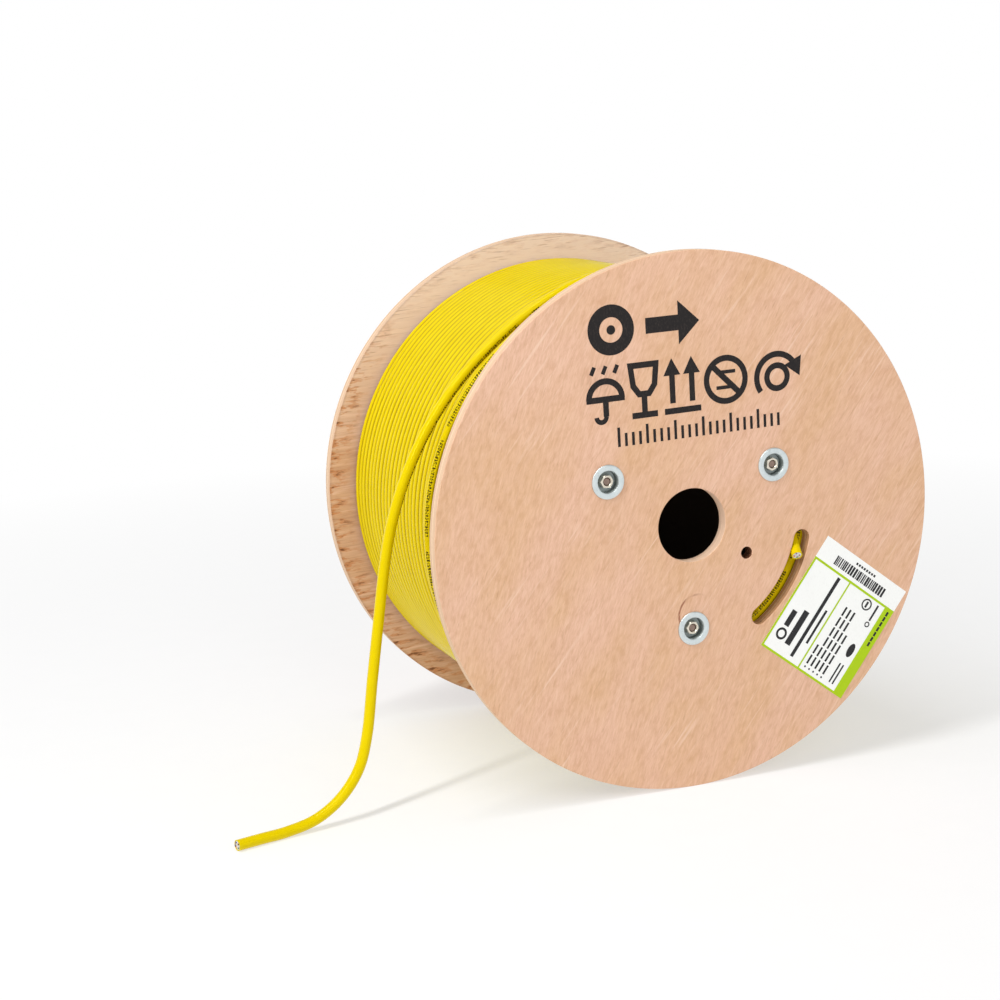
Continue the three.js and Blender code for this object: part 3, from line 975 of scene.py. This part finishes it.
class Print:
    """Thin printed shapes on a flat face, drawn in millimetres along right and up."""

    def __init__(self, origin, right, up, thickness=0.05 * MM):
        self.origin, self.right, self.up = Vector(origin), Vector(right), Vector(up)
        self.out = self.right.cross(self.up).normalized()
        self.thickness = thickness
        self.vertices, self.faces = [], []
        self.shapes = 0

    def next_top(self):
        """Height of the next shape, a hair above the last, so that shapes can cross."""
        self.shapes += 1
        return self.thickness + self.shapes * HAIR

    def add(self, points, level):
        first = len(self.vertices)
        for x, y in points:
            flat = self.origin + (self.right * x + self.up * y) * MM
            self.vertices.append(flat + self.out * level)
        return list(range(first, len(self.vertices)))

    def fill(self, points):
        """A filled outline, counter-clockwise."""
        bottom = self.add(points, INK_GAP)
        top = self.add(points, self.next_top())
        self.faces += [tuple(top), tuple(reversed(bottom))]
        for i in range(len(points)):
            j = (i + 1) % len(points)
            self.faces.append((bottom[i], bottom[j], top[j], top[i]))

    def box(self, x, y, width, height):
        self.fill([(x, y), (x + width, y), (x + width, y + height), (x, y + height)])

    def stroke(self, points, width, closed=False):
        """A line of that width through the points."""
        points = np.array(points, float)
        after = np.roll(points, -1, axis=0) - points
        if not closed:
            after[-1] = after[-2]
        after = unit(after)
        before = np.roll(after, 1, axis=0)
        if not closed:
            before[0] = after[0]
        along = unit(before + after)
        reach = width / 2 / np.maximum(0.35, (along * before).sum(axis=1))
        across = np.stack([-along[:, 1], along[:, 0]], axis=1) * reach[:, None]
        low_left, low_right = (self.add(points + side * across, INK_GAP) for side in (1, -1))
        top = self.next_top()
        high_left, high_right = (self.add(points + side * across, top) for side in (1, -1))
        edges = [low_left, high_left, high_right, low_right]
        for one, two in zip(edges, edges[1:] + edges[:1]):
            for i in range(len(points) if closed else len(points) - 1):
                j = (i + 1) % len(points)
                self.faces.append((one[i], two[i], two[j], one[j]))
        if not closed:
            self.faces += [tuple(edge[end] for edge in edges) for end in (0, -1)]

    def arc(self, x, y, radius, first, last, width):
        steps = max(6, int(abs(last - first) / 8))
        closed = abs(last - first) >= 360
        angles = np.radians(np.linspace(first, last, steps + 1))
        angles = angles[:-1] if closed else angles
        self.stroke(arc_points((x, y), radius, angles), width, closed)

    def disc(self, x, y, radius, stretch=1.0):
        self.fill(circle((x, y), radius, 28, stretch))

    def make(self, name, slot_name, material):
        mesh = mesh_from(name, self.vertices, self.faces)
        close_normals(mesh)
        return piece(name, mesh, [material])


def umbrella(ink, x, y, line):
    """Keep dry. y is the lowest point of every pictogram, and each is 36 mm tall."""
    ink.arc(x, y + 15, 11.5, 0, 180, line)
    ink.stroke([(x - 13.3, y + 15), (x + 13.3, y + 15)], line)
    ink.stroke([(x, y + 15), (x, y + 4)], line)
    ink.arc(x - 3.4, y + 4, 3.4, 180, 360, line * 0.8)
    for shift in (-8, 0, 8):
        ink.stroke([(x + shift + 1.2, y + 36), (x + shift - 1.2, y + 31)], line * 0.7)


def goblet(ink, x, y, line):
    """Fragile."""
    half_bowl = [(-9, 34), (-7.5, 21), (-3.5, 15.5)]
    bowl = half_bowl + [(-a, b) for a, b in reversed(half_bowl)]
    ink.stroke([(x + a, y + b) for a, b in bowl], line, closed=True)
    ink.stroke([(x, y + 15), (x, y + 2)], line)
    ink.stroke([(x - 9, y + 2), (x + 9, y + 2)], line)


def two_arrows(ink, x, y, line):
    """This way up."""
    for shift in (-7, 7):
        ink.stroke([(x + shift, y + 7), (x + shift, y + 27)], line)
        ink.fill([(x + shift - 6, y + 25), (x + shift + 6, y + 25), (x + shift, y + 36)])
    ink.stroke([(x - 13, y + 2), (x + 13, y + 2)], line)


def never_flat(ink, x, y, line):
    """Do not lay the reel on its side: a crossed ring over a reel lying flat."""
    middle = y + 18
    ink.arc(x, middle, 14, 0, 360, line)
    for shift in (-5, 5):
        ink.stroke([(x - 7, middle + shift), (x + 7, middle + shift)], line * 0.6)
    ink.stroke([(x - 9.8, middle + 9.8), (x + 9.8, middle - 9.8)], line)


def roll_arrow(ink, x, y, line):
    """Rolling direction: a wheel with an arrow bent round it."""
    middle, bend = y + 15.5, 15.0
    ink.arc(x, middle, 7.5, 0, 360, line)
    ink.arc(x, middle, bend, 35, 215, line)
    across, rise = math.cos(math.radians(35)), math.sin(math.radians(35))
    tip = (x + bend * across, middle + bend * rise)
    ink.fill([(tip[0] - 6.5, tip[1] - 1.5), (tip[0] + 4.5, tip[1] - 9.5), (tip[0] + 6, tip[1] + 4)])


def flange_print(material):
    """Black handling marks on the front flange, in three rows, with no letters."""
    ink = Print((0, FRONT_FACE - INK_GAP, AXIS_HEIGHT), *leaning(2))
    wheel, shaft, bold = -51, 132.8, 8
    ink.arc(wheel, shaft, 12, 0, 360, bold)
    ink.disc(wheel, shaft, 3)
    ink.stroke([(-27, shaft), (-3, shaft)], bold + 2)
    ink.fill([(-4, shaft - 14), (11, shaft), (-4, shaft + 14)])
    line, foot = 3.9, 74.5
    row = ((umbrella, -57), (goblet, -30), (two_arrows, -3), (never_flat, 28.5), (roll_arrow, 66))
    for draw, x in row:
        draw(ink, x, foot, line)
    for tick in range(24):
        ink.box(-50 + tick * 5, 58, 1.9, 8.5 if tick % 4 else 12.5)
    ink.make("flange_print", "label_paper", material)


# The label, in millimetres and degrees. Its place is that of its middle from the reel's axis.
LABEL_LENGTH, LABEL_HEIGHT = 86.0, 77.0
LABEL_PLACE = (106.7, -75.5)
LABEL_TURN = 53.2
LABEL_THICKNESS = 0.12 * MM
BARCODE_STRIP = 16.0


def label(paper, green, black):
    """Shipping label: plain bars stand for its text, and a bar pattern for its barcode."""
    right, up = leaning(LABEL_TURN)
    x, z = LABEL_PLACE
    centre = Vector((x * MM, FRONT_FACE - 2 * INK_GAP, AXIS_HEIGHT + z * MM))
    corner = centre - (right * LABEL_LENGTH + up * LABEL_HEIGHT) / 2 * MM
    sheet = Print(corner, right, up, LABEL_THICKNESS)
    sheet.box(0, 0, LABEL_LENGTH, LABEL_HEIGHT)
    obj = sheet.make("label_sheet", "label_paper", paper)
    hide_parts("shipping_label")
    corner = corner + sheet.out * (LABEL_THICKNESS + INK_GAP)
    label_frame(Print(corner, right, up), green)
    ink = Print(corner, right, up)
    label_text(ink)
    label_barcode(ink)
    ink.make("label_ink", "label_paper", black)


def label_frame(edge, green):
    """Green frame round the text, with a broad band along one side and a line across."""
    width, height = LABEL_LENGTH - BARCODE_STRIP, LABEL_HEIGHT
    line, band = 1.6, 8
    edge.box(0, 0, width, band)
    edge.box(0, height - line, width, line)
    for x in (0, width - line):
        edge.box(x, band, line, height - line - band)
    edge.box(line, 42, width - 2 * line, 1.2)
    edge.make("label_frame", "label_paper", green)


def label_text(ink):
    """A bold round mark and bars for the heading, and bulleted bars for the list under it."""
    ink.arc(14, 68, 3.4, 0, 360, 1.6)
    ink.box(20, 66, 12, 4.2)
    ink.box(10, 57.5, 26, 4.6)
    ink.box(5, 50.6, 62, 2.6)
    ink.box(18, 46, 26, 1.8)
    for row, length in enumerate((20, 46, 50, 47, 30)):
        y = 37.6 - row * 3.9
        ink.disc(4.6, y + 0.7, 0.7)
        for start in range(0, length - 4, 8):
            ink.box(7 + start, y, 6.8, 1.5)
    for row in range(2):
        ink.box(5, 14.6 - row * 3, 15, 1.2)
    ink.disc(31, 13.6, 5.2, 0.5)
    ink.arc(52, 13.4, 1.6, 0, 360, 0.8)
    ink.box(55, 12.6, 12, 1.5)
    ink.arc(63, 22, 3.6, 0, 360, 1.0)
    ink.box(60.8, 21.2, 4.4, 1.6)
    for dash in range(7):
        ink.box(40 + dash * 4, 3, 3.2, 1.7)


def label_barcode(ink):
    """Bars across the white strip at the label's end, with a row of dashes outside them."""
    random = np.random.default_rng(4)
    strip = LABEL_LENGTH - BARCODE_STRIP
    y = 15.0
    while y < LABEL_HEIGHT - 15:
        bar = random.choice([0.7, 1.1, 1.7])
        ink.box(strip + 2.6, y, 6.6, bar)
        y += bar + random.choice([0.4, 0.6, 0.9])
    for dash in range(8):
        ink.box(strip + 11.2, 28 + dash * 2.4, 1.6, 1.5)


# Floor ---------------------------------------------------------------


def floor():
    """Near-white floor that fades into the backdrop with distance."""
    g = Graph("studio_floor", (246, 246, 246), Roughness=0.75, Specular_IOR_Level=0.2)
    place = g.place()
    g.paint((250, 250, 250), g.noise(place, 40))
    g.put(g.shader.inputs["Base Color"], g.colour)
    parts = g.split(place)
    square = g.math("MULTIPLY_ADD", parts["Y"], parts["Y"], g.times(parts["X"], parts["X"]))
    far = g.ramp(g.over(g.math("SQRT", square), 4.0), (0.05, 0.5), (0.3, 1.0))
    glow = g.add("ShaderNodeEmission", {"Color": (1, 1, 1, 1), "Strength": 1.0})
    blend = g.add("ShaderNodeMixShader", {0: far})
    g.links.new(g.shader.outputs[0], blend.inputs[1])
    g.links.new(glow.outputs[0], blend.inputs[2])
    g.links.new(blend.outputs[0], g.nodes["Material Output"].inputs["Surface"])
    size = 8
    vertices = [(-size, -size, 0), (size, -size, 0), (size, size, 0), (-size, size, 0)]
    mesh = mesh_from("floor", vertices, [(0, 1, 2, 3)])
    mesh.materials.append(g.material)
    placed("floor", mesh)


# The object ----------------------------------------------------------

make_camera()
plain_jacket = jacket("jacket_plain")
printed_jacket = jacket("jacket_printed", printed=True)
foil = shield_foil()
copper = flat_print("copper_wire", (196, 120, 78), (214, 150, 104), 0.3)
insulation = [
    flat_print("insulation_blue", (52, 88, 170), (70, 108, 190)),
    flat_print("insulation_orange", (222, 120, 40), (232, 140, 70)),
    flat_print("insulation_green", (50, 140, 70), (70, 160, 90)),
    flat_print("insulation_brown", (120, 78, 52), (138, 96, 70)),
    flat_print("insulation_white", (238, 238, 232), (226, 226, 220)),
]
cable_ends = (foil, copper, insulation)
tail(printed_jacket, cable_ends)
inner_end(plain_jacket, cable_ends)
loose_turns(jacket("jacket_loose", printed=True, groove_shade=(0.18, 0.26)))
outer_layer(jacket("jacket_wound", groove_shade=(0.09, 0.16)))
core(plain_jacket)
slot_turns(printed_jacket)

front_edge = ply_edge("ply_edge_front", FRONT_FACE, FRONT_INSIDE)
rear_edge = ply_edge("ply_edge_rear", REAR_INSIDE, REAR_FACE)
front_veneer = veneer("veneer_front", 0.42, 0.9, 0.0, marked=True)
inner_veneer = inside_veneer("veneer_inside", 3.1)
rear_veneer = veneer("veneer_rear", -0.1, 0.5, 5.7)
drilled = scorched()
# painted light: the arbor hole's wall is tinted paler
bore = ply_edge("ply_bore", FRONT_FACE, FRONT_INSIDE, 0.8, (246, 212, 184))
# painted shade: the slot's walls are tinted darker
slot_wall = ply_edge("ply_slot", FRONT_FACE, FRONT_INSIDE, 0.5, (176, 134, 98))
front_faces = [front_veneer, inner_veneer, front_edge, drilled, bore, slot_wall]
rear_faces = [rear_veneer, inner_veneer, rear_edge, drilled, rear_edge, rear_edge]
flange("flange_front", "front_flange", FRONT_FACE, FRONT_INSIDE, -1, front_faces)
flange("flange_rear", "rear_flange", REAR_INSIDE, REAR_FACE, 1, rear_faces)
drum(fibreboard())
nickel = steel("bright_nickel", (214, 204, 186), (240, 234, 220), 0.9, 600, (0.2, 0.36))
oiled = steel("oiled_steel", (118, 98, 88), (164, 142, 130), 0.8, 500, (0.32, 0.5))
hardware(zinc(), nickel, oiled)

flange_print(flat_print("ink_black", (30, 26, 26), (56, 48, 44), 0.75))
label(
    flat_print("label_paper", (246, 247, 244), (238, 239, 236), 0.45),
    flat_print("label_green", (170, 202, 0), (178, 208, 4), 0.6),
    flat_print("label_black", (34, 34, 36), (50, 50, 52), 0.5),
)
floor()
make_lights()
